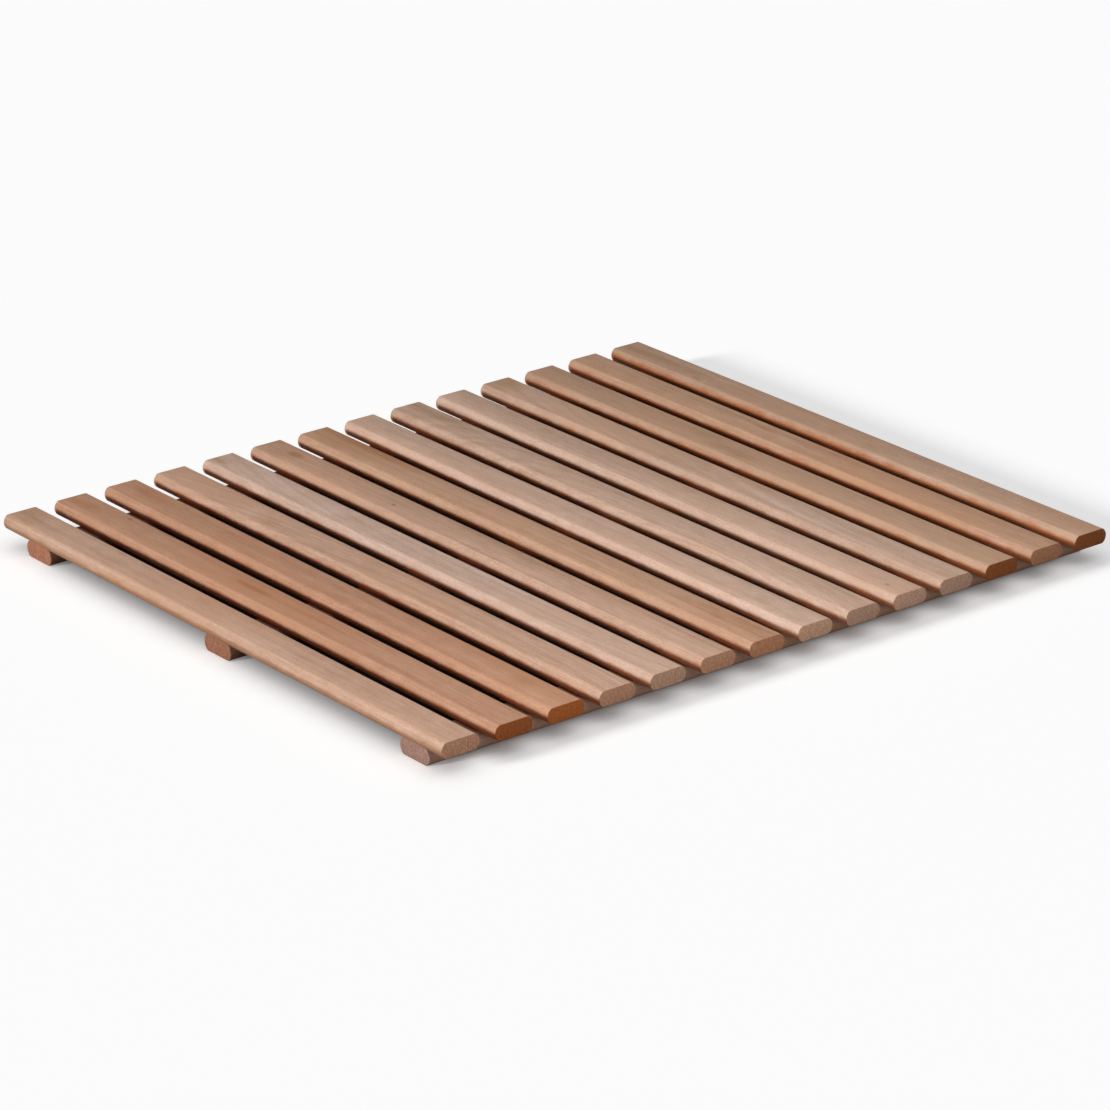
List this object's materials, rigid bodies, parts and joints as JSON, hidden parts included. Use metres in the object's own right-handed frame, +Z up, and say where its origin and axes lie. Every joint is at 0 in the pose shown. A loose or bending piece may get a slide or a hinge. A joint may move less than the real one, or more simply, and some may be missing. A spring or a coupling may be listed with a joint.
{
  "type": "slatted bath mat",
  "caption": "Flat wooden duckboard bath mat: parallel rounded slats with drain gaps, held from below by cross battens.",
  "frame": {"origin": "on the floor, under the middle of the mat", "axes": "+X along the slats, +Y along the battens, across all the slats, +Z up"},
  "size_m": [0.7, 0.8, 0.0325],
  "materials": {
    "slat_wood_pinkish": "sanded bare wood, matt, straight grain along the length, pinkish tan",
    "slat_wood_orange": "sanded bare wood, matt, straight grain along the length, orange brown",
    "slat_wood_pale": "sanded bare wood, matt, straight grain along the length, pale tan",
    "slat_wood_red": "sanded bare wood, matt, straight grain along the length, reddish brown",
    "slat_wood_tan": "sanded bare wood, matt, straight grain along the length, tan",
    "batten_wood": "sanded bare wood, matt, straight grain along the length, reddish brown",
    "screw_steel": "plain stainless steel"
  },
  "bodies": {
    "root": {"slat_01": "slat_wood_pinkish", "slat_02": "slat_wood_orange", "slat_03": "slat_wood_orange", "slat_04": "slat_wood_pale", "slat_05": "slat_wood_pale", "slat_06": "slat_wood_tan", "slat_07": "slat_wood_red", "slat_08": "slat_wood_pale", "slat_09": "slat_wood_pinkish", "slat_10": "slat_wood_pale", "slat_11": "slat_wood_pinkish", "slat_12": "slat_wood_tan", "slat_13": "slat_wood_orange", "slat_14": "slat_wood_red", "batten_left": "batten_wood", "batten_middle": "batten_wood", "batten_right": "batten_wood", "screws_left": "screw_steel", "screws_middle": "screw_steel", "screws_right": "screw_steel"}
  },
  "joints": []
}
